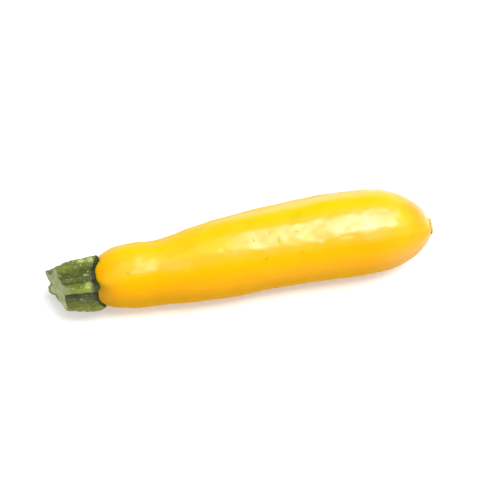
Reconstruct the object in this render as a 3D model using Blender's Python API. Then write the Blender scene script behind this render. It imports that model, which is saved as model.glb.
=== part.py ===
"""A yellow zucchini as picked: the fruit, its cut stem with five ridges, and the blossom scar.

Metres, +Z up. It lies on its side along X with the stem at -X, and rests on a small flat spot.
The origin is on the surface that it lies on, under the middle of the whole thing.
"""

import math

import bmesh
import bpy
from mathutils import Vector

MM = 0.001
GAP = 0.3  # mm, between pieces that touch
SHARP_EDGE = 45.0  # degrees, from which an edge is shaded sharp

# Fruit, in mm: distance from its stem end, radius, how far its middle lies to the far side (+Y),
# and the height of its middle above the surface
FRUIT_STATIONS = (
    (1.0, 0.0, 0.0, 19.3),
    (2.2, 9.0, 0.0, 19.2),
    (5.0, 12.6, 0.2, 19.1),
    (13.0, 15.8, 0.55, 18.9),
    (24.0, 17.25, 0.65, 18.65),
    (36.0, 17.1, 0.35, 18.1),
    (50.0, 19.0, 0.3, 19.55),
    (68.0, 20.8, 0.95, 20.8),
    (90.0, 21.5, 2.7, 21.0),
    (115.0, 22.3, 3.2, 21.9),
    (138.0, 22.7, 2.3, 22.9),
    (156.0, 21.4, 1.95, 22.75),
    (169.0, 16.2, 0.85, 22.65),
    (177.0, 9.1, 0.25, 22.45),
    (179.5, 4.7, -0.25, 22.05),
)
FRUIT_SIDES = 50
STEPS_PER_SPAN = 4
FACET_COUNT = 5
FACET_DEPTH = 0.2  # mm, as the fruit is faintly five-sided

# Stem ridges: direction round the axis (0 is up, 90 the near side, -Y) and half width, in degrees,
# then in mm the crest's radius at the toe and at the cut, and how far the toe laps over the fruit
STEM_RIDGES = (
    (-20.0, 23.0, 15.9, 12.2, 5.9),
    (45.0, 20.0, 16.0, 12.9, 4.2),
    (118.0, 28.0, 15.2, 10.8, 5.8),
    (210.0, 24.0, 15.5, 14.4, 4.5),
    (262.0, 20.0, 15.6, 13.6, 4.6),
)
RIDGE_CREST = 0.7  # below 1 the ridges' tops are broad and their flanks steep
TOE_POINT = 1.6  # above 1 the toes are pointed
CHANNEL_AT_TOE = 10.4  # mm, from the axis to the floor of the channels
CHANNEL_AT_CUT = 8.0
SEAT_RADIUS = 9.6  # mm, within which the stem has grown on to the fruit
TOE_CLEARANCE = 0.6  # mm more than the gap, between a toe's underside and the fruit's shoulder
TOE_ROUNDING = 2.3  # mm
CHANNEL_ROUNDING = 0.5  # mm, where a channel's floor meets the seat
STEM_TAPER_LENGTH = 20.0  # mm, over which a crest goes from its toe's radius to its cut's
STEM_TAPER_POWER = 1.9
STEM_BLANK_LENGTH = 36.0  # mm, before it is cut
STEM_SIDES = 96
SEAT_RINGS = 6
TOE_RINGS = 4
RIDGE_RINGS = 12
CUT_DISTANCE = 17.8  # mm, from the fruit's end to the cut along the axis
CUT_NORMAL = (-0.91, -0.36, 0.19)

# Blossom scar, in mm: distance past its seat and radius, from the seat's rim to the middle
SCAR_PROFILE = (
    (0.0, 4.1),
    (0.2, 4.6),
    (0.7, 4.7),
    (1.1, 4.3),
    (1.2, 3.6),
    (1.0, 2.6),
    (0.7, 1.4),
    (0.9, 0.6),
)
SCAR_TIP = 1.0  # mm, the middle of its face
SCAR_SIDES = 30
SCAR_LOBES = 5
SCAR_WAVE = 0.04  # share of the radius by which its rim wanders

# Base colour, roughness
SKIN = ((0.93, 0.55, 0.02), 0.30)
PEDUNCLE = ((0.14, 0.20, 0.05), 0.65)
CORK = ((0.52, 0.40, 0.17), 0.80)


def clear_scene():
    for obj in list(bpy.data.objects):
        bpy.data.objects.remove(obj)


def material(name, finish):
    """A Principled material of this colour and roughness."""
    colour, roughness = finish
    made = bpy.data.materials.new(name)
    made.use_nodes = True
    shader = made.node_tree.nodes["Principled BSDF"]
    shader.inputs["Base Color"].default_value = (*colour, 1)
    shader.inputs["Roughness"].default_value = roughness
    shader.inputs["Metallic"].default_value = 0
    return made


def around(middle, radius, angle):
    """The point at this radius from a point of the axis, square to X. Angle 0 is up, 90 degrees is -Y."""
    return middle + radius * Vector((0, -math.sin(angle), math.cos(angle)))


def turns(sides):
    """The angles of a ring with this many sides."""
    return [math.tau * side / sides for side in range(sides)]


def smooth_point(before, start, end, after, t):
    """A point of the Catmull-Rom curve between start and end, with t from 0 to 1."""
    return 0.5 * (
        2 * start
        + (end - before) * t
        + (2 * before - 5 * start + 4 * end - after) * t**2
        + (3 * start - before - 3 * end + after) * t**3
    )


def fruit_sections():
    """The fruit's stations with more between them, on a curve that leaves the stem end square to the axis."""
    stations = [Vector(row) for row in FRUIT_STATIONS]
    mirrored = stations[1].copy()
    mirrored[1] = -mirrored[1]
    beyond = 2 * stations[-1] - stations[-2]
    padded = [mirrored, *stations, beyond]
    sections = []
    for four in zip(padded, padded[1:], padded[2:], padded[3:]):
        sections += [smooth_point(*four, step / STEPS_PER_SPAN) for step in range(STEPS_PER_SPAN)]
    return [*sections, stations[-1]]


def shoulder_at(sections, radius):
    """How far along the fruit's shoulder first has this radius."""
    for inner, outer in zip(sections, sections[1:]):
        if inner[1] <= radius < outer[1]:
            share = (radius - inner[1]) / (outer[1] - inner[1])
            return inner[0] + share * (outer[0] - inner[0])
    return sections[-1][0]


def skin_over(mesh, rings, start, end):
    """Bridges the rings in turn, and closes both ends with a fan to the points start and end."""
    loops = []
    for ring in rings:
        verts = [mesh.verts.new(point) for point in ring]
        loops.append([mesh.edges.new(pair) for pair in zip(verts, verts[1:] + verts[:1])])
    for near, far in zip(loops, loops[1:]):
        bmesh.ops.bridge_loops(mesh, edges=near + far)
    for loop, tip in ((loops[0], start), (loops[-1], end)):
        cap = bmesh.ops.contextual_create(mesh, geom=loop)["faces"]
        bmesh.ops.poke(mesh, faces=cap)["verts"][0].co = tip


def cut_flat(mesh, point, normal):
    """Cuts away what lies beyond a plane and fills the cut with one flat face."""
    everything = mesh.verts[:] + mesh.edges[:] + mesh.faces[:]
    cut = bmesh.ops.bisect_plane(
        mesh, geom=everything, plane_co=point, plane_no=normal, clear_outer=True
    )
    rim = [item for item in cut["geom_cut"] if isinstance(item, bmesh.types.BMEdge)]
    bmesh.ops.contextual_create(mesh, geom=rim)


def finish_object(name, mesh, look):
    """Makes the object from a mesh in mm: faces outwards, shaded smooth but for its sharp edges."""
    bmesh.ops.recalc_face_normals(mesh, faces=mesh.faces)
    bmesh.ops.scale(mesh, vec=(MM, MM, MM), verts=mesh.verts)
    data = bpy.data.meshes.new(name)
    mesh.to_mesh(data)
    mesh.free()
    data.shade_smooth()
    data.set_sharp_from_angle(angle=math.radians(SHARP_EDGE))
    data.materials.append(look)
    obj = bpy.data.objects.new(name, data)
    bpy.context.scene.collection.objects.link(obj)
    return obj


def facet(angle, radius):
    """How far the skin stands out of round here: most on the fat part, nothing at the ends."""
    widest = max(row[1] for row in FRUIT_STATIONS)
    return FACET_DEPTH * (radius / widest) ** 2 * math.cos(FACET_COUNT * angle)


def make_fruit(sections):
    """The yellow body: a bent loft through the sections, with the flat spot that it rests on."""
    rings = []
    for along, radius, side, height in sections[1:]:
        middle = Vector((along, side, height))
        rings.append(
            [
                around(middle, radius + facet(angle, radius), angle)
                for angle in turns(FRUIT_SIDES)
            ]
        )
    first, last = FRUIT_STATIONS[0], FRUIT_STATIONS[-1]
    mesh = bmesh.new()
    skin_over(mesh, rings, (first[0], *first[2:]), (last[0], *last[2:]))
    cut_flat(mesh, (0, 0, 0), (0, 0, -1))
    return finish_object("fruit", mesh, material("skin_yellow", SKIN))


def nearest_ridge(angle):
    """The ridge nearest to this direction, and how much of its height is left there, from 1 to 0."""
    def off(ridge):
        return abs((math.degrees(angle) - ridge[0] + 180) % 360 - 180)

    ridge = min(STEM_RIDGES, key=off)
    share = min(off(ridge) / ridge[1], 1)
    return ridge, (0.5 + 0.5 * math.cos(math.pi * share)) ** RIDGE_CREST


def stem_outline(sections, angle):
    """The stem's outline in this direction, as distance along X and radius, from seat to blank end."""
    (_, _, toe, cut, lap), height = nearest_ridge(angle)
    toe_radius = CHANNEL_AT_TOE + (toe - CHANNEL_AT_TOE) * height
    seat_end = shoulder_at(sections, SEAT_RADIUS) - GAP
    reach = seat_end + (lap - seat_end) * height**TOE_POINT
    rounding = CHANNEL_ROUNDING + (TOE_ROUNDING - CHANNEL_ROUNDING) * height
    outline = []
    for step in range(1, SEAT_RINGS + 1):
        radius = (toe_radius - rounding) * step / SEAT_RINGS
        lifted = min(max(radius - SEAT_RADIUS, 0) / TOE_ROUNDING, 1)
        seat = shoulder_at(sections, radius) - GAP - TOE_CLEARANCE * lifted
        outline.append((min(seat, reach), radius))
    nose = outline[-1][0]
    for step in range(1, TOE_RINGS + 1):
        bend = math.pi / 2 * step / TOE_RINGS
        outline.append(
            (
                nose - rounding * (1 - math.cos(bend)),
                toe_radius - rounding * (1 - math.sin(bend)),
            )
        )
    start = outline[-1][0]
    for step in range(1, RIDGE_RINGS + 1):
        along = start - (start + STEM_BLANK_LENGTH) * step / RIDGE_RINGS
        share = max(-along, 0) / STEM_TAPER_LENGTH
        crest = toe - (toe - cut) * share**STEM_TAPER_POWER
        floor = CHANNEL_AT_TOE - (CHANNEL_AT_TOE - CHANNEL_AT_CUT) * share
        outline.append((along, floor + (crest - floor) * height))
    return outline


def make_stem(sections):
    """The cut peduncle: ridges and channels round its core, toes over the shoulder, an oblique cut."""
    end, _, side, height = FRUIT_STATIONS[0]
    outlines = [(angle, stem_outline(sections, angle)) for angle in turns(STEM_SIDES)]
    rings = []
    for row in range(len(outlines[0][1])):
        ring = []
        for angle, outline in outlines:
            along, radius = outline[row]
            ring.append(around(Vector((along, side, height)), radius, angle))
        rings.append(ring)
    mesh = bmesh.new()
    skin_over(mesh, rings, (end - GAP, side, height), (-STEM_BLANK_LENGTH, side, height))
    cut_flat(mesh, (-CUT_DISTANCE, side, height), CUT_NORMAL)
    return finish_object("stem", mesh, material("peduncle_green", PEDUNCLE))


def make_blossom_scar():
    """The corky button on the blossom end: a raised rim round a shallow dish with a small middle."""
    end, _, side, height = FRUIT_STATIONS[-1]
    seat = end + GAP
    rings = [
        [
            around(
                Vector((seat + past, side, height)),
                radius * (1 + SCAR_WAVE * math.cos(SCAR_LOBES * angle)),
                angle,
            )
            for angle in turns(SCAR_SIDES)
        ]
        for past, radius in SCAR_PROFILE
    ]
    mesh = bmesh.new()
    skin_over(mesh, rings, (seat, side, height), (seat + SCAR_TIP, side, height))
    return finish_object("blossom_scar", mesh, material("scar_cork", CORK))


def stand_on_origin(pieces):
    """Parents the pieces to an empty that puts the origin under the middle of the whole, on the surface."""
    corners = [vert.co for piece in pieces for vert in piece.data.vertices]
    low = [min(corner[axis] for corner in corners) for axis in range(3)]
    high = [max(corner[axis] for corner in corners) for axis in range(3)]
    whole = bpy.data.objects.new("zucchini", None)
    bpy.context.scene.collection.objects.link(whole)
    whole.location = (-(low[0] + high[0]) / 2, -(low[1] + high[1]) / 2, -low[2])
    for piece in pieces:
        piece.parent = whole


clear_scene()
SECTIONS = fruit_sections()
stand_on_origin([make_fruit(SECTIONS), make_stem(SECTIONS), make_blossom_scar()])
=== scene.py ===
# %% [markdown]
# # A yellow zucchini, lying on its side
#
# The object has three pieces: the yellow fruit, the green stem that it was cut from the plant with, and the
# small corky scar where the flower fell off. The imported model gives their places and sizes. Here each one is
# modelled again with a finer surface, and gets its finish. Lengths are in millimetres unless a comment says
# otherwise, and MM turns them into the metres that Blender works in.

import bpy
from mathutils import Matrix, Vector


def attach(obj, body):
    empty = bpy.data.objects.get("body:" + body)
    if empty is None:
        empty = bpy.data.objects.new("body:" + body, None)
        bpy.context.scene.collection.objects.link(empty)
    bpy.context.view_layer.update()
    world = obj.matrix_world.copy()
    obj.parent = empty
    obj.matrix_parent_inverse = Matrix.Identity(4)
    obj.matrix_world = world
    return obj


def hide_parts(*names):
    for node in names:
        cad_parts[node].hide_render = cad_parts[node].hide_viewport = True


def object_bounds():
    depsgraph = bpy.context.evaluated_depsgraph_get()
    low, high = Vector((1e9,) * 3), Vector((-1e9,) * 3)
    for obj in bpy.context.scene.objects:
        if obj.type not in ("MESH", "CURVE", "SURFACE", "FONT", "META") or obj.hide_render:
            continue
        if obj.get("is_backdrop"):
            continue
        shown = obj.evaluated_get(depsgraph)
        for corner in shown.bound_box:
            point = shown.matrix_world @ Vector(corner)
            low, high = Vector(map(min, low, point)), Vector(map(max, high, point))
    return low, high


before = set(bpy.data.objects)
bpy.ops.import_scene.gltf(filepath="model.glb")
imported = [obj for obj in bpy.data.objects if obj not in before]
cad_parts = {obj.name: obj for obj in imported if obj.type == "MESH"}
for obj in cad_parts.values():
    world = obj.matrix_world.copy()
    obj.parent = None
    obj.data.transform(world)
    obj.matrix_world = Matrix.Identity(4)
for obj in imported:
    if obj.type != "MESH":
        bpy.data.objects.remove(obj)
cad_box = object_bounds()
print("the packed model spans", [[round(value, 3) for value in corner] for corner in cad_box], "m")

# %% Tools
import math
from collections import namedtuple

import bmesh
import bpy
import numpy as np
from mathutils import Vector, noise
from mathutils.bvhtree import BVHTree

MM = 0.001
print("nodes in the frame:", sorted(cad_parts))

# %% [markdown]
# ## Where the fruit lies
#
# The fruit is described by stations along its length, counted from the end where the stem sits. They are the
# driving sizes of the solid too. The solid's first point, its pole under the stem, says where station 0 is in
# the shared frame, so nothing has to be fitted by eye. All places below are given the same way: how far along
# the fruit, in which direction round its axis (0 is up and 90 the near side), or how far to the side and up.

# %% The stations of the fruit
# distance from the stem end, radius, how far the middle lies to the far side (+Y), height of the middle
FRUIT_STATIONS = (
    (1.0, 0.0, 0.0, 19.3),
    (2.2, 9.0, 0.0, 19.2),
    (5.0, 12.6, 0.2, 19.1),
    (13.0, 15.8, 0.55, 18.9),
    (24.0, 17.25, 0.65, 18.65),
    (36.0, 17.1, 0.35, 18.1),
    (50.0, 19.0, 0.3, 19.55),
    (68.0, 20.8, 0.95, 20.8),
    (90.0, 21.5, 2.7, 21.0),
    (115.0, 22.3, 3.2, 21.9),
    (138.0, 22.7, 2.3, 22.9),
    (156.0, 21.4, 1.95, 22.75),
    (169.0, 16.2, 0.85, 22.65),
    (177.0, 9.1, 0.25, 22.45),
    (179.5, 4.7, -0.25, 22.05),
)
STEM_END, _, STEM_SIDE, STEM_HEIGHT = FRUIT_STATIONS[0]
BLOSSOM_END, _, BLOSSOM_SIDE, BLOSSOM_HEIGHT = FRUIT_STATIONS[-1]

pole = min((vert.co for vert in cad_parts["fruit"].data.vertices), key=lambda co: co.x)
ORIGIN = pole / MM - Vector((STEM_END, STEM_SIDE, STEM_HEIGHT))


def in_frame(along, side, height):
    """A point given as the stations are, in metres in the shared frame."""
    return (Vector((along, side, height)) + ORIGIN) * MM


def turn(degrees, direction=0):
    """How far an angle is turned from a direction, in degrees from -180 to 180."""
    return (degrees - direction + 180) % 360 - 180


print("station 0 is at", [round(value, 2) for value in ORIGIN], "mm")

# %% [markdown]
# ## The camera
#
# The picture was taken from above, 55 degrees over the horizon, with a long lens, so the far end looks hardly
# smaller than the near one. A camera can be dragged about until the outlines agree. Here a few named numbers
# say how high and how far round it stands, how far off it is and what it looks at, because one of them can
# then be mended without disturbing the others. It comes first, as all else is judged through it.

# %% The camera
CAMERA_ELEVATION = math.radians(55)
CAMERA_AZIMUTH = math.radians(10.9)
CAMERA_DISTANCE = 618
CAMERA_LENS = 85
CAMERA_SENSOR = 36
AIM = (90, 0, 20)
# by which the aim is moved to the right and up, as the picture shows them
AIM_RIGHT = -6.71
AIM_UP = 2.31

look = Vector(
    (
        math.sin(CAMERA_AZIMUTH) * math.cos(CAMERA_ELEVATION),
        math.cos(CAMERA_AZIMUTH) * math.cos(CAMERA_ELEVATION),
        -math.sin(CAMERA_ELEVATION),
    )
)
right = Vector((math.cos(CAMERA_AZIMUTH), -math.sin(CAMERA_AZIMUTH), 0))
target = in_frame(*AIM) + (AIM_RIGHT * right + AIM_UP * right.cross(look)) * MM
bpy.ops.object.camera_add(location=target - look * CAMERA_DISTANCE * MM)
camera = bpy.context.object
camera.name = "camera"
camera.rotation_euler = look.to_track_quat("-Z", "Y").to_euler()
camera.data.lens = CAMERA_LENS
camera.data.sensor_width = CAMERA_SENSOR
bpy.context.scene.camera = camera
print("camera at", [round(value, 3) for value in camera.location])

# %% [markdown]
# ## The lights
#
# The picture is lit softly from all round: its shadows are faint, and the skin carries one long pale
# highlight. A photographer gets this from large soft boxes and Blender from area lights, and where they hang
# decides where the skin mirrors them. Two hang on the blossom end's side, a small one just below a large one,
# so that the highlight is brightest in its middle. A third hangs on the stem's side, two stand left and right
# to fill the shadows, and a low wide one behind draws the pale line along the far edge. The world is a faint
# grey, as the walls of a room are.

# %% The lights
# place, size, radiance and the point that it faces, in metres and watts per square metre and steradian
LIGHTS = {
    "overhead": ((0.43, -0.06, 0.9), (0.80, 0.72), 5.7, (0.43, -0.06, 0)),
    "overhead_core": ((0.42, -0.25, 0.88), (0.58, 0.32), 3.7, (0.42, -0.25, 0)),
    "overhead_side": ((-0.28, 0.0, 0.9), (0.56, 0.56), 1.1, (-0.28, 0.0, 0)),
    "left": ((-0.95, -0.56, 0.65), (1.2, 1.2), 2.1, (0, 0, 0)),
    "right": ((0.90, -0.69, 0.60), (1.2, 1.2), 1.5, (0, 0, 0)),
    "back": ((0.1, 1.3, 0.25), (2.6, 0.4), 2.6, (0, 0, 0.05)),
}
ROOM_GREY = 0.22


def soft_light(name, place, size, radiance, aim):
    """A rectangular light of this size and brightness, pointed at a place."""
    bpy.ops.object.light_add(type="AREA", location=place)
    light = bpy.context.object
    light.name = name
    light.data.shape = "RECTANGLE"
    light.data.size, light.data.size_y = size
    light.data.energy = radiance * size[0] * size[1] * math.pi
    light.rotation_euler = (Vector(aim) - Vector(place)).to_track_quat("-Z", "Y").to_euler()


for name, settings in LIGHTS.items():
    soft_light(name, *settings)

room = bpy.data.worlds.new("room")
room.use_nodes = True
room.node_tree.nodes["Background"].inputs["Color"].default_value = (1, 1, 1, 1)
room.node_tree.nodes["Background"].inputs["Strength"].default_value = ROOM_GREY
bpy.context.scene.world = room
bpy.context.scene.view_settings.view_transform = "Standard"

# %% [markdown]
# ## Shader maths as Python
#
# A procedural finish is arithmetic on positions: how far along, how far round, how near an edge. It could be
# wired up by hand in the shader editor, but a long finish soon becomes a web of lines that nobody can read.
# One small class wraps a socket instead, so that a line such as `1 - mask * 0.5` adds its Math nodes itself.


# %% A socket that does arithmetic
class Wire:
    """A socket of a material. Operators on it add Math nodes, and node() adds any other node."""

    def __init__(self, socket):
        self.socket = socket

    def node(self, kind, settings=(), inputs=(), output=0):
        """Adds a node: first its settings, then the values or links of its sockets."""
        tree = self.socket.id_data
        made = tree.nodes.new("ShaderNode" + kind)
        for name, value in dict(settings).items():
            setattr(made, name, value)
        for name, value in dict(inputs).items():
            if isinstance(value, Wire):
                tree.links.new(value.socket, made.inputs[name])
            else:
                made.inputs[name].default_value = value
        return Wire(made.outputs[output])

    def math(self, operation, *others):
        """A Math node on this value and the others."""
        return self.node("Math", {"operation": operation}, dict(enumerate((self, *others))))

    def __add__(self, other):
        return self.math("ADD", other)

    def __sub__(self, other):
        return self.math("SUBTRACT", other)

    def __mul__(self, other):
        return self.math("MULTIPLY", other)

    def __rsub__(self, other):
        return self.node("Math", {"operation": "SUBTRACT"}, {0: other, 1: self})

    __radd__ = __add__
    __rmul__ = __mul__

    def rise(self, low, high):
        """0 below low and 1 above high, with a soft step between. It falls where low is the larger."""
        reach = {"Value": self, "From Min": low, "From Max": high}
        return self.node("MapRange", {"interpolation_type": "SMOOTHSTEP"}, reach)

    def band(self, start, full, fade, end):
        """1 between full and fade, and down to 0 at start and at end, with soft steps."""
        return self.rise(start, full) * self.rise(end, fade)

    def noise(self, size, detail=2.0):
        """Smooth noise from 0 to 1 at this vector, in blotches of about this size in its units."""
        inputs = {"Vector": self, "Scale": 1 / size, "Detail": detail}
        return self.node("TexNoise", {"noise_dimensions": "3D"}, inputs, "Fac")


def blend(share, under, over):
    """The colour under, covered by the colour over to this share."""
    return share.node("Mix", {"data_type": "RGBA"}, {0: share, 6: under, 7: over}, 2)


def colour(red, green, blue):
    """A colour as a socket holds it, with its alpha."""
    return (red, green, blue, 1.0)


print("shader helper ready")

# %% [markdown]
# A finish starts as a new Principled shader. Its position comes from Object coordinates, turned from metres
# into millimetres and counted from station 0, as the stations are, so all sizes in a finish are real ones.


# %% A new finish
def new_finish(name, **settings):
    """A Principled material with these constants on its own sockets, and the place on the piece in mm."""
    finish = bpy.data.materials.new(name)
    finish.use_nodes = True
    shader = finish.node_tree.nodes["Principled BSDF"]
    for socket, value in settings.items():
        shader.inputs[socket.replace("_", " ").title()].default_value = value
    coordinates = Wire(finish.node_tree.nodes.new("ShaderNodeTexCoord").outputs["Object"])
    scaled = coordinates.node("VectorMath", {"operation": "SCALE"}, {0: coordinates, "Scale": 1 / MM})
    place = scaled.node("VectorMath", {"operation": "SUBTRACT"}, {0: scaled, 1: ORIGIN})
    return finish, shader, place


def feed(shader, **wires):
    """Links wires to the shader's sockets."""
    for socket, wire in wires.items():
        shader.id_data.links.new(wire.socket, shader.inputs[socket.replace("_", " ").title()])


def relief(height, depth):
    """A bump of this depth in mm from a height of 0 to 1."""
    return height.node("Bump", {}, {"Height": height * depth * MM, "Distance": 1.0}, "Normal")


def axes_of(place):
    """The x, y and z of a vector."""
    return [place.node("SeparateXYZ", {}, {0: place}, axis) for axis in "XYZ"]


def stretched(place, x, y, z):
    """The place with each axis multiplied, so that a pattern on it runs long where the factor is small."""
    return place.node("VectorMath", {"operation": "MULTIPLY"}, {0: place, 1: (x, y, z)})


def attribute(place, name):
    """A number that the mesh holds at each point."""
    return place.node("Attribute", {"attribute_name": name}, {}, "Fac")


print("finish helper ready")

# %% [markdown]
# ## The floor
#
# The picture's ground is white paper without an edge. A large plane serves for it. It has a faint unevenness,
# so that it isn't one flat colour, and it glows a little, because paper this bright is overexposed and throws
# light up at the belly of the fruit.

# %% The floor
FLOOR_SIZE = 6.0  # metres
FLOOR_DROP = 0.1  # below the surface that the fruit lies on, so that the two never share a plane
FLOOR_GLOW = 0.15
GLOW_TINT = colour(1.0, 0.98, 0.94)
PAPER_SHADE = colour(0.86, 0.86, 0.86)
PAPER_WHITE = colour(0.90, 0.90, 0.895)
PAPER_BLOTCH = 40

bpy.ops.mesh.primitive_plane_add(size=FLOOR_SIZE, location=(0, 0, -FLOOR_DROP * MM))
floor = bpy.context.object
floor.name = "floor"
floor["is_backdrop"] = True
finish, shader, place = new_finish("floor_paper", roughness=0.95, emission_strength=FLOOR_GLOW)
shader.inputs["Emission Color"].default_value = GLOW_TINT
feed(shader, base_color=blend(place.noise(PAPER_BLOTCH), PAPER_SHADE, PAPER_WHITE))
floor.data.materials.append(finish)
print("floor of", FLOOR_SIZE, "m")

# %% [markdown]
# ## Hand tools for modelling
#
# Operators act on what is selected, so each piece starts from a clean slate: nothing selected, then the new
# primitive. Fine relief is put on at the end, as a sculptor would: every point of the mesh moves a little
# along its normal, by an amount that a function gives for its place.


# %% Selecting, finishing and sculpting
def only(piece):
    """Selects this object alone."""
    for thing in bpy.context.selected_objects:
        thing.select_set(False)
    piece.select_set(True)
    bpy.context.view_layer.objects.active = piece


def mode(name):
    """Goes into this mode, such as EDIT."""
    bpy.ops.object.mode_set(mode=name)


def apply_modifier(piece, kind, **settings):
    """Adds a modifier with these settings and applies it."""
    only(piece)
    modifier = piece.modifiers.new(kind.lower(), kind)
    for name, value in settings.items():
        setattr(modifier, name, value)
    bpy.ops.object.modifier_apply(modifier=modifier.name)


def settle(piece, name):
    """Names a piece and puts its place into its mesh, so that its object is at the origin, unturned."""
    only(piece)
    piece.name = name
    piece.data.name = name
    bpy.ops.object.transform_apply(location=True, rotation=True, scale=True)


def sculpt(piece, amount):
    """Moves every point along its normal by amount(along, side, height) in mm."""
    moves = []
    for vert in piece.data.vertices:
        along, side, height = vert.co / MM - ORIGIN
        moves.append(vert.normal * amount(along, side, height) * MM)
    for vert, move in zip(piece.data.vertices, moves):
        vert.co += move


def lumps(place, rows):
    """The sum of noises here, each given as (height, pitch, where in the noise it starts)."""
    total = 0
    for height, pitch, start in rows:
        total += height * noise.noise(place * pitch + Vector((start, 0, 0)))
    return total


def dress(piece, finish, node):
    """Gives a piece its finish and says what it stands for in the frame."""
    piece.data.materials.clear()
    piece.data.materials.append(finish)
    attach(piece, "root")
    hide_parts(node)
    print(piece.name, "has", len(piece.data.polygons), "faces")


print("hand tools ready")

# %% [markdown]
# ## The fruit
#
# A zucchini is a bent, tapering tube with closed ends. By hand one would add a circle and extrude it from
# section to section, scaling and moving it each time. That is done here, through sections on a smooth curve
# between the stations. A subdivided cage shrinks a little inside its points, so the cage is first swollen by
# as much as the smoothing will take away again.

# %% Sections along the fruit
FRUIT_SIDES = 32
STEPS_PER_SPAN = 2
END_UNDER_SCAR = (180.1, 2.4, -0.3, 22.0)  # one more station, which the scar hides


def smooth_point(before, start, end, after, t):
    """A point of the Catmull-Rom curve between start and end, with t from 0 to 1."""
    return 0.5 * (
        2 * start
        + (end - before) * t
        + (2 * before - 5 * start + 4 * end - after) * t**2
        + (3 * start - before - 3 * end + after) * t**3
    )


def fruit_sections():
    """The stations with more between them, from the pole under the stem to the end under the scar."""
    stations = [Vector(row) for row in (*FRUIT_STATIONS, END_UNDER_SCAR)]
    mirrored = stations[1].copy()
    mirrored[1] = -mirrored[1]
    padded = [mirrored, *stations, 2 * stations[-1] - stations[-2]]
    sections = []
    for four in zip(padded, padded[1:], padded[2:], padded[3:]):
        sections += [smooth_point(*four, step / STEPS_PER_SPAN) for step in range(STEPS_PER_SPAN)]
    return [*sections, stations[-1]]


sections = fruit_sections()
round_swell = 3 / (2 + math.cos(math.tau / FRUIT_SIDES))
cage = []
for before, section, after in zip(sections, sections[1:], sections[2:]):
    # smoothing moves a ring by a sixth of the bend between its neighbours
    swollen = section - (before - 2 * section + after) / 6
    swollen[1] *= round_swell
    cage.append(swollen)
print(len(cage), "rings in the fruit's cage")

# %% Extruding the fruit from ring to ring
FRUIT_SMOOTHING = 3

along, radius, side, height = cage[0]
bpy.ops.object.select_all(action="DESELECT")
bpy.ops.mesh.primitive_circle_add(
    vertices=FRUIT_SIDES,
    radius=radius * MM,
    location=in_frame(along, side, height),
    rotation=(0, math.radians(90), 0),
)
fruit = bpy.context.object
mode("EDIT")
bpy.ops.mesh.select_all(action="SELECT")
for near, far in zip(cage, cage[1:]):
    middle = in_frame(far[0], far[2], far[3])
    step = middle - in_frame(near[0], near[2], near[3])
    share = far[1] / near[1]
    bpy.ops.mesh.extrude_region_move(TRANSFORM_OT_translate={"value": step})
    bpy.ops.transform.resize(value=(1, share, share), center_override=middle)
bpy.ops.mesh.edge_face_add()
bpy.ops.mesh.poke()
bpy.ops.mesh.select_all(action="DESELECT")
bpy.ops.mesh.select_non_manifold()
bpy.ops.mesh.edge_face_add()
bpy.ops.mesh.poke()
bpy.ops.mesh.select_all(action="SELECT")
bpy.ops.mesh.normals_make_consistent(inside=False)
mode("OBJECT")
apply_modifier(fruit, "SUBSURF", levels=FRUIT_SMOOTHING, render_levels=FRUIT_SMOOTHING)
settle(fruit, "fruit_skin")
print("fruit:", len(fruit.data.vertices), "points")

# %% [markdown]
# A grown skin is never a perfect tube. This one is faintly five-sided, because the ribs of the stem run on
# into it, and it has long low swellings, waves and a few shallow dents. None is deeper than half a millimetre
# or so, but a glossy skin shows them all, because they make the edge of the highlight wander. They could be
# brushed on in sculpt mode. Formulas do it here, so that each one stands at a place that can be named.

# %% Ribs, swellings, waves and dents of the skin
# the ribs lie where the ridges of the stem do
RIB_DIRECTIONS = (-20, 45, 118, 210, 262)
RIB_HEIGHT = 0.16
RIB_WIDTH = 14  # degrees
RIB_FADE_START, RIB_FADE_LENGTH, RIB_FADE = 6, 90, 0.65
# along, direction, length, width in degrees, height
SWELLINGS = (
    (132, 48, 44, 22, 0.55),
    (86, -6, 22, 20, 0.25),
    (118.5, 38, 8, 6, 0.27),
)
# length along the fruit, width round it, height, where in the noise they start
WAVES = (
    (12, 6.5, 0.28, 0),
    (6, 4.5, 0.11, 50),
    (4.2, 2.9, 0.12, 90),
)
# along, direction, width, depth
DENTS = (
    (58, 30, 7, 0.16),
    (76, 4, 5, 0.12),
    (101, 26, 6, 0.12),
    (128, -28, 8, 0.14),
    (147, 150, 9, 0.18),
    (88, 205, 8, 0.15),
    (43, 250, 6, 0.14),
)
SKIN_SINK = 0.17  # the whole skin lies this much lower, so that its relief stays inside the solid's box


def middle_at(along):
    """The side, the height and the radius of the fruit's middle line, as the stations give them."""
    table = np.array(FRUIT_STATIONS).T
    return [float(np.interp(along, table[0], table[row])) for row in (2, 3, 1)]


def fruit_relief(along, side, height):
    """How far the skin stands out of its smooth form at this place."""
    middle_side, middle_height, radius = middle_at(along)
    angle = math.degrees(math.atan2(middle_side - side, height - middle_height))
    ribs = 0
    for direction in RIB_DIRECTIONS:
        ribs += math.exp(-((turn(angle, direction) / RIB_WIDTH) ** 2))
    rib_share = 1 - min(max((along - RIB_FADE_START) / RIB_FADE_LENGTH, 0), 1) * RIB_FADE
    swellings = 0
    for place, direction, length, width, rise in SWELLINGS:
        off = turn(angle, direction)
        swellings += rise * math.exp(-(((along - place) / length) ** 4) - (off / width) ** 2)
    waves = 0
    for length, width, rise, start in WAVES:
        waves += rise * noise.noise(Vector((along / length + start, side / width, height / width)))
    dents = 0
    for place, direction, width, depth in DENTS:
        round_off = math.radians(turn(angle, direction)) * radius
        distance = math.hypot(along - place, round_off) / width
        dents += depth * math.exp(-((2 * distance) ** 2))
    return RIB_HEIGHT * ribs * rib_share - SKIN_SINK + swellings + waves - dents


sculpt(fruit, fruit_relief)
print("fruit sculpted")

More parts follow.
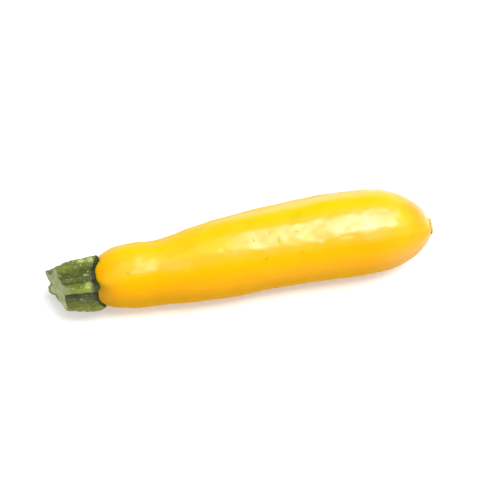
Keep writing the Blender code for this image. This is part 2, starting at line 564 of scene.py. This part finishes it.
# %% [markdown]
# A fruit gives a little where it lies, so its underside is flat there. A boolean cut could do it, but would
# leave long thin faces. What lies below the surface is selected and scaled to height 0 instead, and every
# point stays.

# %% Flattening the fruit where it lies
only(fruit)
mode("EDIT")
skin = bmesh.from_edit_mesh(fruit.data)
for vert in skin.verts:
    vert.select = vert.co.z < 0
flattened = sum(vert.select for vert in skin.verts)
skin.select_flush(True)
bmesh.update_edit_mesh(fruit.data)
bpy.ops.transform.resize(value=(1, 1, 0), center_override=(0, 0, 0))
mode("OBJECT")
bpy.ops.object.shade_smooth()
print(flattened, "points laid flat")

# %% [markdown]
# ## The stem
#
# The stem grew five ridges round a core. At the fruit each ridge ends in a toe that laps over the shoulder,
# and at the other end a knife went through at a slant. Height, width and slant of the ridges all change from
# cut to toe, which ring after ring of one section can't give. So this piece is a grid, like a sheet of paper,
# that code rolls round the axis: each column is a direction, and each row a step from the seat out to the
# toe, back along the ridge, over the rim and across the cut face to its middle.

# %% The ridges of the stem
# direction, half width, radius of the crest at the toe and at the cut, lap of the toe, length of its nose,
# reach of the painted shade at its end, width of the green rim that is left on the cut
Ridge = namedtuple("Ridge", "direction half_width toe cut lap nose tint rim")
STEM_RIDGES = (
    Ridge(-20, 23, 15.9, 12.2, 5.9, 1.6, 2.2, 0.5),
    Ridge(45, 20, 15.9, 12.9, 4.2, 3.2, 4.2, 0.6),
    Ridge(118, 28, 15.2, 10.8, 5.8, 5.4, 0.8, 0.5),
    Ridge(210, 24, 15.4, 14.3, 4.5, 3.0, 1.4, 3.4),
    Ridge(262, 20, 15.5, 13.5, 4.6, 2.4, 1.6, 0.8),
)
RIDGE_CREST = 0.7  # below 1 the ridges' tops are broad and their flanks steep
RIDGE_WANDER = 3.5  # degrees
# how quickly the wander changes along the stem and round it, and where in the noise it starts
WANDER_ALONG, WANDER_ROUND, WANDER_START = 0.16, 2, 7
TOE_POINT = 1.6  # above 1 the toes are pointed
TAPER_LENGTH = 20.0
TAPER_POWER = 1.9
CHANNEL_AT_TOE = 10.4
CHANNEL_AT_CUT = 8.0
# direction, width and height of the low ribs in the channels, and how they grow with the distance
CHANNEL_RIBS = ((15, 9, 0.5), (166, 9, 0.5), (310, 8, 0.4))
CHANNEL_RIB_GROWTH, CHANNEL_RIB_START = 3, 0.35
# how far the skin swells behind a toe, how far behind its end, and over which length
TOE_SWELLING, TOE_SWELLING_BACK, TOE_SWELLING_LENGTH = 0.35, 5.0, 3.2
CREST_SINK = 0.2  # taken off the crests for what swellings and lumps add
# stretch of the lumps along the stem and round it, then their height, pitch and start
LUMP_ALONG, LUMP_ROUND = 0.45, 6.8
LUMPS = ((0.45, 0.55, 0), (0.30, 1.3, 9))
PIMPLE_ALONG, PIMPLE_ROUND = 1.1, 19
PIMPLES = ((0.10, 1, 0),)


def ridge_at(degrees):
    """The nearest ridge, and the share of its height that is left in this direction."""
    ridge = min(STEM_RIDGES, key=lambda each: abs(turn(degrees, each.direction)))
    off = min(abs(turn(degrees, ridge.direction)) / ridge.half_width, 1)
    return ridge, (0.5 + 0.5 * math.cos(math.pi * off)) ** RIDGE_CREST


def channel_rib(degrees):
    """Height of the low ribs that run along some of the channels."""
    height = 0
    for direction, width, rise in CHANNEL_RIBS:
        height += rise * math.exp(-((turn(degrees, direction) / width) ** 2))
    return height


def skin_radius(degrees, along):
    """The radius of the stem's skin in this direction at this distance, with its lumps."""
    angle = math.radians(degrees)
    drift = Vector((along * WANDER_ALONG, math.cos(angle) * WANDER_ROUND, WANDER_START))
    ridge, height = ridge_at(degrees + RIDGE_WANDER * noise.noise(drift))
    share = max(-along, 0) / TAPER_LENGTH
    crest = ridge.toe - (ridge.toe - ridge.cut) * share**TAPER_POWER
    channel = CHANNEL_AT_TOE - (CHANNEL_AT_TOE - CHANNEL_AT_CUT) * share
    behind = (along - ridge.lap + TOE_SWELLING_BACK) / TOE_SWELLING_LENGTH
    swelling = TOE_SWELLING * math.exp(-(behind**2)) - CREST_SINK
    place = Vector((along * LUMP_ALONG, LUMP_ROUND * math.sin(angle), LUMP_ROUND * math.cos(angle)))
    fine = Vector((along * PIMPLE_ALONG, PIMPLE_ROUND * math.sin(angle), PIMPLE_ROUND * math.cos(angle)))
    ribs = channel_rib(degrees) * min(share * CHANNEL_RIB_GROWTH + CHANNEL_RIB_START, 1)
    smooth = channel + (crest + swelling - channel) * height + ribs
    return smooth + lumps(place, LUMPS) * (0.5 + height) + lumps(fine, PIMPLES)


print(len(STEM_RIDGES), "ridges")

# %% [markdown]
# The cut is a plane, so in every direction it lies at a distance that grows evenly with the radius. A freshly
# cut stem dries: its middle sinks a little, and the rim of skin stays up. A boolean cut would give the plane,
# but no rounded rim and no hollow, and it would leave long thin triangles. So the rows of the grid are led
# round the stem's outline instead, over the rim and down to the middle of the cut.

# %% The way round the stem's outline in one direction
SEAT_RADIUS = 9.6
SHOULDER_LENGTH = 30  # of the fruit's end that the stem can touch
CLEARANCE = 0.25  # between the seat and the shoulder
NOSE_DEPTH = 2.4
# length and depth of the nose, and reach of the painted shade, where a channel meets the fruit
CHANNEL_NOSE = 0.5
CHANNEL_SHADE_REACH = 2.2
CUT_DISTANCE = 17.8
CUT_NORMAL = (-0.91, -0.36, 0.19)
CUT_HOLLOW = 0.7
RIM_ROUNDING = 0.45
RIM_TRIALS = 12
SEAT_ROWS = 8
NOSE_ROWS = 9
SKIN_ROWS = 60
RIM_ROWS = 3
CUT_ROWS = 26


def shoulder_at(radius):
    """How far along the fruit's shoulder has this radius."""
    table = [(section[1], section[0]) for section in sections if section[0] < SHOULDER_LENGTH]
    return float(np.interp(radius, [row[0] for row in table], [row[1] for row in table]))


def cut_slope(degrees):
    """How much nearer to the fruit the cut plane gets per mm of radius in this direction."""
    x, y, z = CUT_NORMAL
    angle = math.radians(degrees)
    return (y * math.sin(angle) - z * math.cos(angle)) / x


def rim_in(degrees):
    """Distance and radius where the skin meets the cut, found by going to and fro between the two."""
    along = -CUT_DISTANCE
    for _ in range(RIM_TRIALS):
        radius = skin_radius(degrees, along)
        along = -CUT_DISTANCE + cut_slope(degrees) * radius
    return along, radius


def stem_outline(degrees):
    """Rows from the seat to the middle of the cut: distance, radius, nearness to the toe's end, cut face."""
    ridge, height = ridge_at(degrees)
    seat_end = shoulder_at(SEAT_RADIUS)
    reach = seat_end + (ridge.lap - seat_end) * height**TOE_POINT
    nose_length = CHANNEL_NOSE + (ridge.nose - CHANNEL_NOSE) * height
    tint = CHANNEL_SHADE_REACH + (ridge.tint - CHANNEL_SHADE_REACH) * height
    depth = CHANNEL_NOSE + (NOSE_DEPTH - CHANNEL_NOSE) * height
    inner = skin_radius(degrees, reach - nose_length) - depth
    rows = []
    for step in range(SEAT_ROWS):
        radius = inner * step / SEAT_ROWS
        rows.append((min(shoulder_at(radius) - CLEARANCE, reach), radius, 1.0, 0.0))
    for step in range(NOSE_ROWS):
        bend = math.pi / 2 * step / (NOSE_ROWS - 1)
        back = nose_length * (1 - math.cos(bend))
        rows.append((reach - back, inner + depth * math.sin(bend), math.exp(-back / tint), 0.0))
    rim_along, rim_radius = rim_in(degrees)
    start = rows[-1][0]
    for step in range(1, SKIN_ROWS + 1):
        along = start + (rim_along + RIM_ROUNDING - start) * (step / SKIN_ROWS)
        rows.append((along, skin_radius(degrees, along), math.exp(-(reach - along) / tint), 0.0))
    for step in range(1, RIM_ROWS + 1):
        bend = math.pi / 2 * step / RIM_ROWS
        radius = rim_radius - RIM_ROUNDING * (1 - math.cos(bend))
        rows.append((rim_along + RIM_ROUNDING * (1 - math.sin(bend)), radius, 0.0, 0.0))
    edge = rows[-1][1]
    for step in range(1, CUT_ROWS + 1):
        radius = edge * (1 - step / CUT_ROWS)
        hollow = CUT_HOLLOW * (1 - (radius / edge) ** 2)
        along = -CUT_DISTANCE + cut_slope(degrees) * radius
        rows.append((along + hollow, radius, 0.0, min((edge - radius) / ridge.rim, 1)))
    return rows


row_count = SEAT_ROWS + NOSE_ROWS + SKIN_ROWS + RIM_ROWS + CUT_ROWS
print(row_count, "rows from the seat to the middle of the cut")

# %% [markdown]
# The grid is rolled up: each of its points goes to its place on the outline of its column. A spin could not
# do it, because it turns one outline and each column has its own. The three numbers that the finish needs are
# kept on the points: how near the end of a toe they are, whether they lie on the cut face, and how high on a
# ridge. Then the seam is closed by merging the points that came to lie together.

# %% Rolling the grid into the stem
STEM_COLUMNS = 252
STEM_NUMBERS = ("toe_end", "cut_face", "crest")
MERGE_DISTANCE = 0.005

bpy.ops.object.select_all(action="DESELECT")
bpy.ops.mesh.primitive_grid_add(x_subdivisions=STEM_COLUMNS, y_subdivisions=row_count - 1, size=1)
stem = bpy.context.object
outlines = [stem_outline(360 * column / STEM_COLUMNS) for column in range(STEM_COLUMNS)]
for name in STEM_NUMBERS:
    stem.data.attributes.new(name, "FLOAT", "POINT")
toe_end, cut_face, crest_height = (stem.data.attributes[name].data for name in STEM_NUMBERS)
for vert in stem.data.vertices:
    column = round((vert.co.x + 0.5) * STEM_COLUMNS) % STEM_COLUMNS
    row = round((vert.co.y + 0.5) * (row_count - 1))
    angle = math.tau * column / STEM_COLUMNS
    along, radius, near_toe, on_cut = outlines[column][row]
    vert.co = in_frame(along, STEM_SIDE - radius * math.sin(angle), STEM_HEIGHT + radius * math.cos(angle))
    toe_end[vert.index].value = near_toe
    cut_face[vert.index].value = on_cut
    crest_height[vert.index].value = ridge_at(math.degrees(angle))[1]
only(stem)
mode("EDIT")
bpy.ops.mesh.select_all(action="SELECT")
bpy.ops.mesh.remove_doubles(threshold=MERGE_DISTANCE * MM)
bpy.ops.mesh.normals_make_consistent(inside=False)
mode("OBJECT")
bpy.ops.object.shade_smooth()
settle(stem, "stem_ridged")
print("stem:", len(stem.data.vertices), "points")

# %% [markdown]
# A stem is finely lumpy all over, and on the cut face the ends of its fibres stand up. A stippling brush
# would do for both. Two sizes of noise do the same here, on the skin and on the cut.

# %% Fine lumps of the stem
STEM_GRAIN = ((0.06, 1.4, 0), (0.04, 3.0, 0))


def stem_relief(along, side, height):
    """Fine lumps all over."""
    return lumps(Vector((along, side, height)), STEM_GRAIN)


sculpt(stem, stem_relief)
print("stem sculpted")

# %% [markdown]
# ## The blossom scar
#
# Where the flower fell off, a button of cork the size of a shirt button is left. It is a turned form: a disc
# that is extruded and inset by hand, ring after ring, into a raised rim round a dish with a small knob. Its
# rim wanders, so it isn't a machine part.

# %% Modelling the scar
SCAR_RADIUS = 4.4
SCAR_SIDES = 40
SCAR_SINK = 0.1  # how far inside the fruit's last station the disc starts
SCAR_SMOOTHING = 2
# rise and share of the width of each ring of the wall
SCAR_WALL = ((0.5, 1.06), (0.45, 0.99), (0.35, 0.93))
# inset and rise of each ring of the face, from the rim to the middle
SCAR_FACE = ((0.35, 0.06), (0.55, -0.10), (0.7, -0.16), (0.9, -0.18), (0.7, -0.02), (0.45, 0.18))

bpy.ops.object.select_all(action="DESELECT")
bpy.ops.mesh.primitive_circle_add(
    vertices=SCAR_SIDES,
    radius=SCAR_RADIUS * MM,
    fill_type="NGON",
    location=in_frame(BLOSSOM_END - SCAR_SINK, BLOSSOM_SIDE, BLOSSOM_HEIGHT),
    rotation=(0, math.radians(90), 0),
)
scar = bpy.context.object
scar_middle = in_frame(BLOSSOM_END, BLOSSOM_SIDE, BLOSSOM_HEIGHT)
mode("EDIT")
bpy.ops.mesh.select_all(action="SELECT")
for rise, share in SCAR_WALL:
    bpy.ops.mesh.extrude_region_move(TRANSFORM_OT_translate={"value": (rise * MM, 0, 0)})
    bpy.ops.transform.resize(value=(1, share, share), center_override=scar_middle)
for inset, rise in SCAR_FACE:
    bpy.ops.mesh.inset(thickness=inset * MM)
    bpy.ops.transform.translate(value=(rise * MM, 0, 0))
bpy.ops.mesh.poke()
bpy.ops.mesh.select_all(action="SELECT")
bpy.ops.mesh.normals_make_consistent(inside=False)
mode("OBJECT")
apply_modifier(scar, "SUBSURF", levels=SCAR_SMOOTHING, render_levels=SCAR_SMOOTHING)
settle(scar, "scar_button")
print("scar:", len(scar.data.vertices), "points")

# %% [markdown]
# Cork crumbles, and the five petals left five faint lobes. Both are sculpted on, as on the other pieces.

# %% Lobes and crumbs of the scar
SCAR_LOBES = 5
LOBE_HEIGHT = 0.12
LOBE_TURN = 0.6  # radians
SCAR_GRAIN = ((0.10, 0.9, 0), (0.07, 2.4, 0))


def scar_relief(along, side, height):
    """A wandering rim and crumbly cork."""
    radius = math.hypot(side - BLOSSOM_SIDE, height - BLOSSOM_HEIGHT) / SCAR_RADIUS
    angle = math.atan2(BLOSSOM_SIDE - side, height - BLOSSOM_HEIGHT)
    lobes = LOBE_HEIGHT * math.cos(SCAR_LOBES * angle + LOBE_TURN) * radius**2
    return lobes + lumps(Vector((along, side, height)), SCAR_GRAIN)


sculpt(scar, scar_relief)
bpy.ops.object.shade_smooth()
print("scar sculpted")

# %% [markdown]
# ## What the skin knows of its neighbours
#
# Next to the toes, and round the scar, the skin keeps a thin greenish edge. It could be painted by hand. Here
# the distance from both neighbours is measured on the mesh and kept as a number at each point, which the
# finish then reads, so that the edge follows every toe exactly.

# %% Distance from the stem and from the scar
NEAR_LIMIT = 12.0


def keep_distance(piece, other, name):
    """Keeps the distance to another piece in mm at each point, as far as the limit."""
    finder = BVHTree.FromObject(other, bpy.context.evaluated_depsgraph_get())
    kept = piece.data.attributes.new(name, "FLOAT", "POINT")
    for vert in piece.data.vertices:
        distance = finder.find_nearest(vert.co, NEAR_LIMIT * MM)[3]
        kept.data[vert.index].value = NEAR_LIMIT if distance is None else distance / MM


keep_distance(fruit, stem, "from_stem")
keep_distance(fruit, scar, "from_scar")
print("distances kept")

# %% [markdown]
# ## Finish of the skin
#
# The skin is a clear waxy film over yellow flesh that lets light in a little way. Blender's Principled shader
# has both: a coat for the wax, and subsurface light for the flesh. The colour comes first, and much of it is
# painted light and shade on a gold skin. Lemon is painted light where the skin faces up and near both ends,
# amber is painted shade underneath, along the far edge, at both ends and faintly under the highlight where
# the fruit is fullest, and a browner painted shade lies low beside the toes and low at the blossom end. Slow
# patches drawn out along the fruit, which are the skin's own lemon colour, keep these zones from looking
# sprayed on. They could be painted on a texture, but that would have to be painted again after each change of
# shape. Here two wires lay them out: x is the distance along the fruit in mm, and direction the angle round it
# in radians.

# %% The yellow of the skin
GOLD = colour(0.89, 0.370, 0.0003)
# lemon: the skin's own colour in slow patches, and painted light where it faces up and near both ends
LEMON = colour(0.90, 0.450, 0.0003)
# painted shade: amber underneath, at both ends, along the far edge and faintly under the highlight
SHADE_AMBER = colour(0.51, 0.250, 0.0005)
# painted shade: browner low beside the toes and low at the blossom end
SHADE_BROWN = colour(0.40, 0.195, 0.008)
# zones along the fruit: where each starts, is full, begins to fade and ends
STEM_HALF = (10, 30, 66, 84)
FULL_HALF = (112, 144, 155, 163)
BLOSSOM_SHOULDER = (153, 160, 164, 177)
# a straight line through the fruit, from which directions are taken, and the skin's radius round it
SKIN_AXIS_SIDE = 1.4
SKIN_AXIS_HEIGHT = 21.0
SKIN_RADIUS = 21.0

skin_finish, shader, place = new_finish("zucchini_skin", subsurface_weight=0.25)
x, y, z = axes_of(place)
direction = (SKIN_AXIS_SIDE - y).math("ARCTAN2", z - SKIN_AXIS_HEIGHT)
from_stem = attribute(place, "from_stem")
from_scar = attribute(place, "from_scar")

patches = stretched(place, 0.5, 1, 1).noise(14, 2)
drawn_out = stretched(place, 0.12, 1, 1).noise(3.2, 3)
# painted light: lemon where the skin faces up and near both ends; the slow patches are the skin's own colour
light_on_top_mask = direction.rise(0.28, -0.15) * 0.75
light_near_ends_mask = x.band(*STEM_HALF) * 0.62 + x.band(*BLOSSOM_SHOULDER) * 0.75
light_near_ends_mask = light_near_ends_mask * direction.rise(0.60, 0.30)
lemon_patches_and_light = patches.rise(0.42, 0.68) * 0.25 + light_on_top_mask.math("MAXIMUM", light_near_ends_mask)
skin_colour = blend(lemon_patches_and_light, GOLD, LEMON)
skin_colour = blend(drawn_out.rise(0.5, 0.75) * 0.25, skin_colour, LEMON)

# painted shade in amber: underneath, at both ends, along the far edge, and faintly under the highlight where
# the fruit is fullest
shade_underneath = direction.math("COSINE").rise(0.93, -0.27)
shade_at_ends = x.rise(17, 3) * 0.35 + x.rise(157, 177) * (direction.rise(0.45, -0.35) * 0.55 + 0.40)
shade_along_far_edge = direction.rise(-0.35, -0.85) * (x.rise(98, 135) * 0.28 + 0.14)
shade_under_highlight = x.band(*FULL_HALF) * direction.rise(-0.05, 0.2)
for share in (shade_underneath, shade_at_ends, shade_along_far_edge, shade_under_highlight * 0.22):
    skin_colour = blend(share, skin_colour, SHADE_AMBER)
# painted shade in brown: low beside the toes and low at the blossom end
shade_brown_mask = from_stem.rise(12, 0.5) * direction.rise(0.70, 1.15) * 0.8
shade_brown_mask = shade_brown_mask + x.rise(150, 176) * direction.rise(1.15, 1.65) * 0.3
skin_colour = blend(shade_brown_mask, skin_colour, SHADE_BROWN)
print("yellow laid on")

# %% [markdown]
# The skin is green where it ripened last: in faint patches on top and in an edge along the toes and the scar.
# Close up it has pale pores, a few olive ticks where it was rubbed as it grew, brown spots and pale flecks,
# some of the flecks being painted highlights on the upper near side.
# Pores are so many that a cell texture scatters them. The other marks can be counted in the picture, so each
# has its own row, as if it were dabbed on with a brush, and noise makes its edge ragged.

# %% The marks on the skin
SKIN_GREEN = colour(0.42, 0.50, 0.002)
PATCH_GREEN = colour(0.38, 0.405, 0.0003)
PALE_PORE = colour(0.97, 0.74, 0.28)
OLIVE_TICK = colour(0.25, 0.35, 0.004)
BROWN_SPOT = colour(0.42, 0.25, 0.001)
PORE_SCALE = 0.42
MARK_GRAIN = 0.8
# each mark: along, direction in degrees, length along the fruit, width round it
TICKS = (
    (84.1, 18, 1.5, 3.0),
    (96.9, 23, 1.3, 4.0),
    (92.6, 11, 0.9, 2.0),
    (106.0, 15, 2.4, 1.2),
    (120.0, 190, 0.8, 3.0),
    (52.0, 150, 0.9, 2.0),
    (140.0, 260, 0.8, 2.6),
    (70.0, 300, 0.9, 2.4),
    (18.9, 36, 1.6, 1.8),
)
BROWN_SPOTS = (
    (89.2, 46, 1.7, 1.7),
    (107.4, 43, 0.8, 1.8),
    (150.0, 100, 1.2, 1.6),
    (76.0, 205, 1.6, 1.4),
)
# pale flecks: partly pale blemishes, partly painted highlights in the bright band on the upper near side
PALE_FLECKS_AND_GLINTS = (
    (66.9, 24, 3.0, 3.0),
    (22.8, 36, 4.6, 2.2),
    (118.0, 34, 3.6, 2.0),
    (131.0, 34, 8.0, 1.6),
    (128.0, 215, 3.0, 2.0),
    (60.0, 120, 2.4, 2.0),
)
GREEN_PATCHES = (
    (108.0, -6, 11, 8),
    (105.0, 4, 5, 4),
    (93.0, 3, 4, 3),
    (132.7, 7, 7, 3),
    (58.0, -24, 9, 4),
)


def marks(place, along, direction, radius, rows, edge=(1.9, 0.7), ragged=0.9):
    """A mask of ragged marks. It is 0 outside the edge's first value and 1 inside its second, which are
    squares of the distance from a mark's middle, in halves of the mark."""
    mask = along * 0
    round_way = direction * radius
    tatter = place.noise(MARK_GRAIN) * ragged
    for middle, degrees, length, width in rows:
        off_along = (along - middle) * (2 / length)
        off_round = (round_way - math.radians(turn(degrees)) * radius) * (2 / width)
        near = (off_along * off_along + off_round * off_round + tatter).rise(*edge)
        mask = mask.math("MAXIMUM", near)
    return mask


unripe = stretched(place, 0.6, 1, 1).noise(9, 1).rise(0.62, 0.80) * z.rise(18, 40)
stem_edge = from_stem.rise(2.0, 0.3) * (0.75 - direction.rise(0.7, 1.2) * 0.35)
green = unripe * 0.25 + stem_edge + from_scar.rise(1.6, 0.1) * 0.4
pores = place.node("TexVoronoi", {"feature": "F1"}, {"Vector": place, "Scale": PORE_SCALE}, "Distance")
pore_dots = pores.rise(0.16, 0.07) * place.noise(6).rise(0.35, 0.6)
green_spots = marks(place, x, direction, SKIN_RADIUS, GREEN_PATCHES, (2.2, 0.6), 1.5)
flecks_and_glints = marks(place, x, direction, SKIN_RADIUS, PALE_FLECKS_AND_GLINTS, (2.8, 0.9), 2.4)
ticks = marks(place, x, direction, SKIN_RADIUS, TICKS)
brown = marks(place, x, direction, SKIN_RADIUS, BROWN_SPOTS)
for share, paint in (
    (green.math("MINIMUM", 1.0), SKIN_GREEN),
    (pore_dots * 0.16, PALE_PORE),
    (green_spots * 0.73, PATCH_GREEN),
    (flecks_and_glints * 0.26, PALE_PORE),
    (ticks * 0.84, OLIVE_TICK),
    (brown * 0.85, BROWN_SPOT),
):
    skin_colour = blend(share, skin_colour, paint)
print(len(GREEN_PATCHES + PALE_FLECKS_AND_GLINTS + TICKS + BROWN_SPOTS), "marks set by hand")

# %% [markdown]
# The wax isn't equally thick. It shines in a band along the upper near side, from the shoulder to the
# blossom end, thinner at the neck and low at the end, and there is a faint second band along the far edge and
# one round the blossom end. A photographer would say that this is where the lights are mirrored, and the
# lamps do the main work. The coat's weight only trims their reflections to the width that the picture shows.
# Ticks and brown spots are dull, because their skin is dry.

# %% The gloss of the skin
BASE_ROUGHNESS = 0.27
SKIN_RELIEF = 0.05
NECK = (38, 52, 66, 92)
# bands round the fruit in radians, each with its start, full, fade and end, as the zones along it
UPPER_NEAR_SIDE = (-0.25, 0.10, 0.62, 0.85)
FAR_SIDE = (-0.88, -0.55, -0.55, -0.28)
BACK_OF_END = (-0.75, -0.30, -0.15, 0.25)
FRONT_OF_END = (0.80, 1.30, 1.75, 2.1)

shader.inputs["Specular IOR Level"].default_value = 0.07
shader.inputs["Coat Roughness"].default_value = 0.29
shader.inputs["Coat IOR"].default_value = 1.7
shader.inputs["Subsurface Radius"].default_value = (1.0, 0.7, 0.05)
shader.inputs["Subsurface Scale"].default_value = 0.004

low_end = x.rise(142, 158) * direction.rise(0.42, 0.60)
near_shine = direction.band(*UPPER_NEAR_SIDE) * x.rise(7, 20)
near_shine = near_shine * (1 - low_end * 0.75) * (1 - x.band(*NECK) * 0.5)
near_shine = near_shine * (x.rise(22, 62) * 0.45 + x.rise(92, 106) * 0.22 + 0.55)
near_shine = near_shine * (1 - x.rise(138, 156) * 0.25)
far_shine = direction.band(*FAR_SIDE) * (x.rise(48, 110) * 0.64 + 0.03)
far_shine = far_shine * (1 - x.rise(150, 168) * 0.85)
end_back = direction.band(*BACK_OF_END) * 0.36
end_front = direction.band(*FRONT_OF_END) * (0.45 - x.rise(164, 178) * 0.2)
end_shine = x.rise(140, 172) * (end_back + end_front)
wax = place.noise(4.5, 2).rise(0.20, 0.80) * 0.24 + 0.80
dull = direction.rise(1.2, 1.7) * 0.45 + direction.rise(-0.6, -0.95) * 0.35
grain = place.noise(0.55, 3)
feed(
    shader,
    base_color=skin_colour,
    roughness=BASE_ROUGHNESS + place.noise(5, 3) * 0.12 + ticks * 0.2 + dull,
    coat_weight=(near_shine * wax + far_shine + end_shine) * (1 - ticks * 0.5) * (1 - brown * 0.8),
    normal=relief(grain * 0.35 - pore_dots * 0.4 - ticks, SKIN_RELIEF),
)
dress(fruit, skin_finish, "fruit")

# %% [markdown]
# ## Finish of the stem
#
# The stem is rough and dull. Its ridges are a lighter green than the channels, partly their own colour and
# partly painted shade in the channels, and the brightest streaks along their crests are partly painted light.
# It is darker towards the far side, the lower near channel gets a painted shade, and the underside a painted
# shade of olive. Pale fibres run lengthwise and pale specks cover the skin, and pale spots on the crests and
# toes, where the specks run together, are partly wear and partly painted highlights. Painted shade darkens the
# toes where they turn under. A painter would lay this on from dark to light, and the blends below do the same,
# one over the other, led by the numbers that the mesh keeps.

# %% The green of the stem
# the channels' darker green is partly painted shade, and the bright crest green partly painted light
CHANNEL_GREEN_AND_SHADE = colour(0.058, 0.074, 0.010)
SHADED_GREEN = colour(0.020, 0.022, 0.006)
RIDGE_GREEN = colour(0.135, 0.170, 0.014)
CREST_GREEN_AND_LIGHT = colour(0.240, 0.285, 0.014)
# painted shade on the underside
UNDERSIDE_SHADE_OLIVE = colour(0.100, 0.098, 0.012)
PALE_FIBRE = colour(0.46, 0.52, 0.20)
# painted shade where the toes turn under
CREVICE_SHADE = colour(0.020, 0.020, 0.006)
STEM_RADIUS = 14.0
SHADED_CHANNEL = (0.98, 1.12, 1.30, 1.75)  # a band round the stem in radians
# pale spots: partly wear, partly painted highlights on the lumps of crests and toes
# along, direction in degrees, length along the stem, width round it
WORN_AND_GLINT_SPOTS = (
    (-1.3, 37, 4.4, 3.6),
    (1.0, -17, 3.4, 2.6),
    (-3.4, -15, 5.0, 1.6),
    (-13.6, -22, 1.6, 2.2),
    (-2.2, 10, 2.2, 1.6),
    (2.4, 97, 2.8, 1.2),
    (-6.5, 88, 1.6, 1.6),
    (-9.0, 122, 1.4, 2.0),
    (-4.0, 205, 2.6, 2.0),
    (-8.0, 262, 3.0, 1.6),
)

stem_finish, shader, place = new_finish("stem_green")
shader.inputs["Specular IOR Level"].default_value = 0.35
crest = attribute(place, "crest")
toe = attribute(place, "toe_end")
cut = attribute(place, "cut_face")
mottle = stretched(place, 0.4, 1, 1).noise(2.6, 3)
fibres = stretched(place, 0.10, 1, 1).noise(0.7, 2)
specks = place.noise(1.3, 2)
x, y, z = axes_of(place)
direction = (STEM_SIDE - y).math("ARCTAN2", z - STEM_HEIGHT)
shaded = direction.band(*SHADED_CHANNEL) * (1 - x.rise(-16, -2) * 0.25)
worn_and_glint = marks(place, x, direction, STEM_RADIUS, WORN_AND_GLINT_SPOTS, (3.0, 1.2), 3.2)
speck_share = (x.rise(-12, -3) * 0.35 + 0.3) * (1 - direction.rise(0.85, 1.1) * 0.6)
green = blend((crest * 0.7 + mottle * 0.9 - 0.35).rise(0.1, 0.9), CHANNEL_GREEN_AND_SHADE, RIDGE_GREEN)
# painted light on the crests; darker towards the far side; painted shade in the lower near channel, underneath
# and under the toes
for share, paint in (
    (crest.rise(0.55, 1.0) * mottle.rise(0.40, 0.70) * 0.75, CREST_GREEN_AND_LIGHT),
    (direction.rise(0.0, -0.4) * 0.35, CHANNEL_GREEN_AND_SHADE),
    (shaded * 0.9, SHADED_GREEN),
    (direction.rise(1.6, 2.1) * 0.9, UNDERSIDE_SHADE_OLIVE),
    (worn_and_glint * 0.75, PALE_FIBRE),
    (fibres.rise(0.55, 0.75) * 0.15, PALE_FIBRE),
    (specks.rise(0.58, 0.72) * speck_share, PALE_FIBRE),
    (specks.rise(0.42, 0.28) * 0.4, CHANNEL_GREEN_AND_SHADE),
    (toe.rise(0.25, 0.60), CREVICE_SHADE),
):
    green = blend(share, green, paint)
print(len(WORN_AND_GLINT_SPOTS), "worn spots on the stem")

# %% [markdown]
# The cut face is a dry grey green, blotched, and darker towards the top. It could be a second material on the
# faces of the cut, but that would end in a jagged edge. Here it takes the place of the green skin by the
# number that the mesh keeps, so that the two run into each other along the rim.

# %% The cut face, and the stem's surface
CUT_GREEN = colour(0.24, 0.265, 0.110)
CUT_PALE = colour(0.34, 0.37, 0.17)
CUT_DARK = colour(0.17, 0.20, 0.07)
STEM_RELIEF = 0.14

face = blend(place.noise(3.0, 3).rise(0.38, 0.66), CUT_GREEN, CUT_PALE)
face = blend(place.noise(1.1, 2).rise(0.42, 0.28) * 0.6, face, CUT_DARK)
face = blend((z - STEM_HEIGHT).rise(-7, 6) * 0.5, face, CUT_DARK)
feed(
    shader,
    base_color=blend(cut.rise(0.2, 0.9), green, face),
    roughness=0.32 + mottle * 0.25 + cut * 0.25 - worn_and_glint * 0.12 + shaded * 0.25 + toe * 0.2,
    normal=relief(specks * 0.6 + fibres * 0.4, STEM_RELIEF),
)
dress(stem, stem_finish, "stem")

# %% [markdown]
# ## Finish of the scar
#
# Dry cork: tan, darker in blotches and in the cracks that run out from its middle. Its lowest part and, more
# faintly, the opposite side of its rim have stayed green. The cracks come from noise that is cut off sharply,
# which is quicker than drawing them and as irregular as real ones.

# %% The cork of the scar
CORK_TAN = colour(0.66, 0.47, 0.13)
CORK_DARK = colour(0.56, 0.42, 0.14)
CORK_GREEN = colour(0.24, 0.26, 0.012)
# how much the side and the height count in the direction in which the green lies
LOW_SIDE, LOW_HEIGHT = 0.82, 0.57
CORK_RELIEF = 0.1

cork_finish, shader, place = new_finish("scar_cork")
x, y, z = axes_of(place)
off_side = BLOSSOM_SIDE - y
off_height = z - BLOSSOM_HEIGHT
from_middle = (off_side * off_side + off_height * off_height).math("SQRT")
cracks = place.noise(1.0, 3).rise(0.42, 0.30) * from_middle.rise(0.6, 2.0)
low_side = off_side * LOW_SIDE - off_height * LOW_HEIGHT + place.noise(2.0)
cork = blend(place.noise(1.3, 3).rise(0.35, 0.65), CORK_DARK, CORK_TAN)
cork = blend(cracks * 0.5, cork, CORK_DARK)
cork = blend(low_side.rise(2.2, 3.8) * 0.9, cork, CORK_GREEN)
cork = blend(low_side.rise(-2.6, -3.6) * 0.3, cork, CORK_GREEN)
feed(
    shader,
    base_color=cork,
    roughness=0.75 + place.noise(1) * 0.15,
    normal=relief(place.noise(0.5, 3), CORK_RELIEF),
)
dress(scar, cork_finish, "blossom_scar")

# %% [markdown]
#
# Both boxes are printed, the packed model's and the finished pieces', so that they can be compared.

# %% The two boxes, and the end
visual_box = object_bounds()
sizes = {
    "cad": [list(corner) for corner in cad_box],
    "visual": [list(corner) for corner in visual_box],
}
for name, box in sizes.items():
    print(name, [[round(value / MM, 2) for value in corner] for corner in box])
